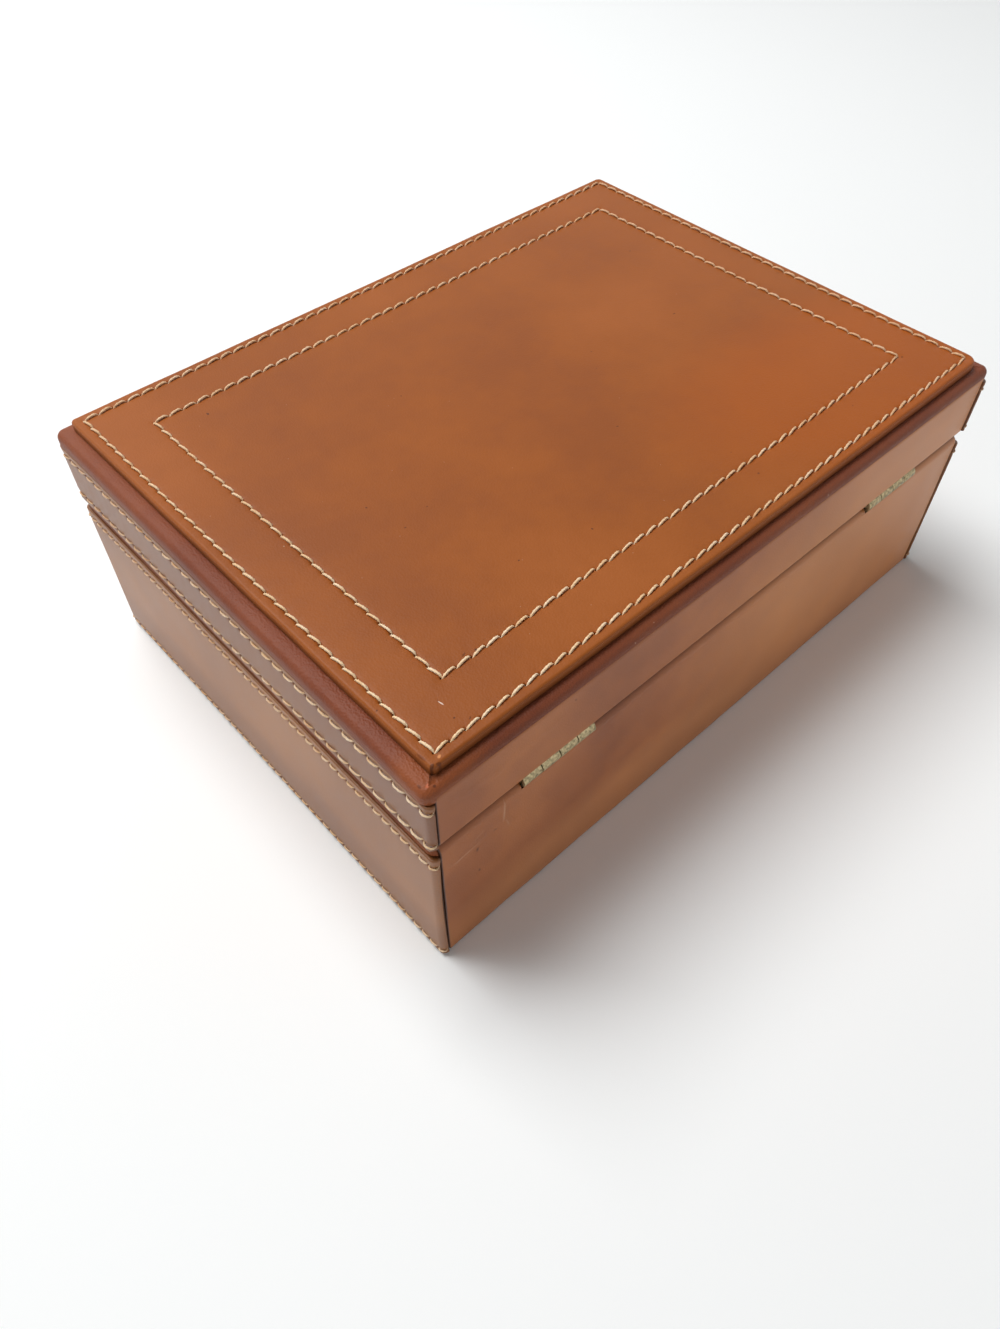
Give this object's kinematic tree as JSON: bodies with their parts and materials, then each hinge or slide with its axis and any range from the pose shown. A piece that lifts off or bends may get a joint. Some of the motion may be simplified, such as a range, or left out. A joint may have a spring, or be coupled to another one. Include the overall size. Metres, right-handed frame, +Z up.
{
  "type": "locking jewelry box",
  "caption": "Leather-covered wooden jewelry box with a hinged, key-locked lid, saddle-stitched bands and a raised stitched lid panel, with a lift-out tray inside.",
  "frame": {"origin": "middle of the flat underside that the box rests on", "axes": "+X along the box's long side, from left to right as its lock side is seen; +Y from the lock side to the hinge side; +Z up"},
  "size_m": [0.2404, 0.2036, 0.0902],
  "materials": {
    "saddle_leather": "smooth, waxed",
    "waxed_thread": "twisted, waxed",
    "aged_brass": "tarnished",
    "lock_steel": "plain sheet",
    "poplar": "sawn and sanded",
    "tan_suede": "napped",
    "brown_felt": "pressed felt"
  },
  "bodies": {
    "base": {"base_underside_cover": "brown_felt", "base_floor_board": "poplar", "base_front_board": "poplar", "base_back_board": "poplar", "base_left_board": "poplar", "base_right_board": "poplar", "base_band_leather": "saddle_leather", "base_back_leather": "saddle_leather", "base_edge_leather": "saddle_leather", "base_band_upper_thread": "waxed_thread", "base_band_lower_thread": "waxed_thread", "base_floor_lining": "tan_suede", "base_wall_lining": "tan_suede", "left_tray_ledge": "tan_suede", "right_tray_ledge": "tan_suede", "left_hinge_base_leaf": "aged_brass", "right_hinge_base_leaf": "aged_brass", "left_hinge_base_screw_1": "aged_brass", "left_hinge_base_screw_2": "aged_brass", "right_hinge_base_screw_1": "aged_brass", "right_hinge_base_screw_2": "aged_brass", "left_hinge_pin": "aged_brass", "right_hinge_pin": "aged_brass", "lock_case": "lock_steel", "lock_cover_plate": "lock_steel", "keyhole_escutcheon": "aged_brass"},
    "lid": {"lid_top_board": "poplar", "lid_front_board": "poplar", "lid_back_board": "poplar", "lid_left_board": "poplar", "lid_right_board": "poplar", "lid_cap_leather": "saddle_leather", "lid_band_leather": "saddle_leather", "lid_back_leather": "saddle_leather", "lid_edge_leather": "saddle_leather", "lid_plaque": "saddle_leather", "plaque_outer_thread": "waxed_thread", "plaque_inner_thread": "waxed_thread", "lid_band_upper_thread": "waxed_thread", "lid_band_lower_thread": "waxed_thread", "lid_wall_lining": "tan_suede", "lid_top_pad": "tan_suede", "left_hinge_lid_leaf": "aged_brass", "right_hinge_lid_leaf": "aged_brass", "left_hinge_lid_screw_1": "aged_brass", "left_hinge_lid_screw_2": "aged_brass", "right_hinge_lid_screw_1": "aged_brass", "right_hinge_lid_screw_2": "aged_brass", "strike_plate": "aged_brass"},
    "tray": {"tray_floor": "tan_suede", "tray_front_wall": "tan_suede", "tray_back_wall": "tan_suede", "tray_left_wall": "tan_suede", "tray_right_wall": "tan_suede", "tray_long_divider": "tan_suede", "tray_cross_divider": "tan_suede", "ring_pad": "tan_suede"},
    "bolt": {"lock_bolt": "lock_steel"},
    "key": {"key": "aged_brass"}
  },
  "joints": [
    {"name": "lid_hinge", "type": "hinge", "parent": "base", "child": "lid", "pos_m": [0, 0.0862, 0.06], "axis": [-1, 0, 0], "range_deg": [0, 100]},
    {"name": "tray_lift", "type": "slide", "parent": "base", "child": "tray", "axis": [0, 0, 1], "range_m": [0, 0.018]},
    {"name": "key_turn", "type": "hinge", "parent": "base", "child": "key", "pos_m": [0, -0.0885, 0.045], "axis": [0, 1, 0], "range_deg": [0, 90]},
    {"name": "bolt_slide", "type": "slide", "parent": "base", "child": "bolt", "axis": [1, 0, 0], "range_m": [0, 0.0048]}
  ],
  "couplings": [
    {"joint": "key_turn", "follows": "bolt_slide", "rad_per_m": 327.2}
  ]
}
